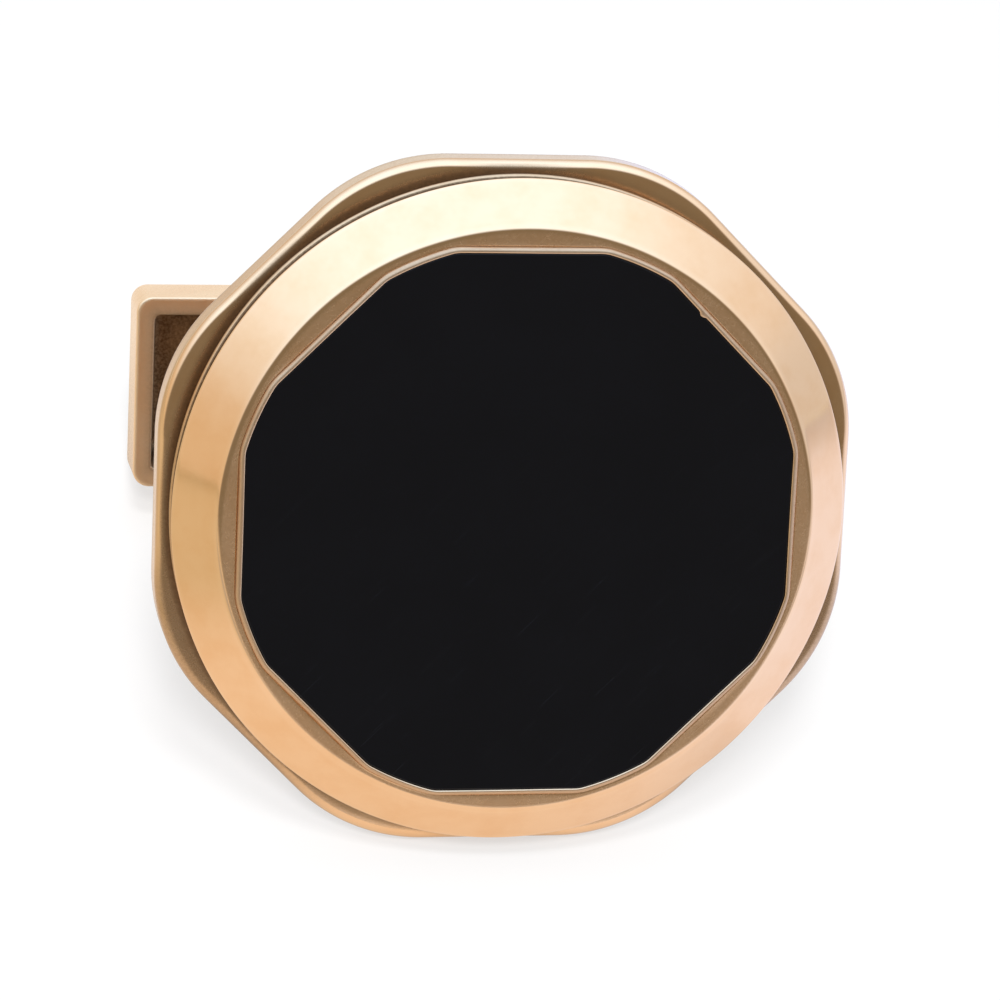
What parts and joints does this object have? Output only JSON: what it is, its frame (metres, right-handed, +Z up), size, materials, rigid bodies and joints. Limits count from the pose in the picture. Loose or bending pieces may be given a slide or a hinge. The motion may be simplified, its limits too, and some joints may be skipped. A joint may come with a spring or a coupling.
{
  "type": "cufflink",
  "caption": "Swivel-back cufflink with a flat black stone in an octagonal rose gold face, on a fork post with a hollow toggle that turns to lie along the post.",
  "frame": {"origin": "on the table, under the middle of the resting cufflink's box", "axes": "+Z up, the stone faces -Y and up, +X along the toggle bar to the right as seen from the front"},
  "size_m": [0.018, 0.0192, 0.017],
  "materials": {
    "rose_gold_polished": "polished rose gold with fine hairline scratches",
    "rose_gold_worn": "rose gold, polished and dulled by wear",
    "onyx": "polished black onyx",
    "cement": "matt setter's cement",
    "spring_steel": "plain spring steel"
  },
  "bodies": {
    "face_and_post": {"face_plate": "rose_gold_polished", "face_ring": "rose_gold_polished", "onyx_stone": "onyx", "stone_cement": "cement", "stone_bezel": "rose_gold_polished", "post_foot": "rose_gold_worn", "post_fork": "rose_gold_worn", "pivot_pin": "rose_gold_worn", "detent_cam": "spring_steel"},
    "toggle": {"toggle_shell": "rose_gold_worn", "detent_spring": "spring_steel", "spring_stud": "rose_gold_worn"}
  },
  "joints": [
    {"name": "toggle_swing", "type": "hinge", "parent": "face_and_post", "child": "toggle", "pos_m": [0, 0.00729, 0.00352], "axis": [0, 0.3848, 0.923], "range_deg": [-90, 90], "deforming": ["detent_spring"]}
  ]
}
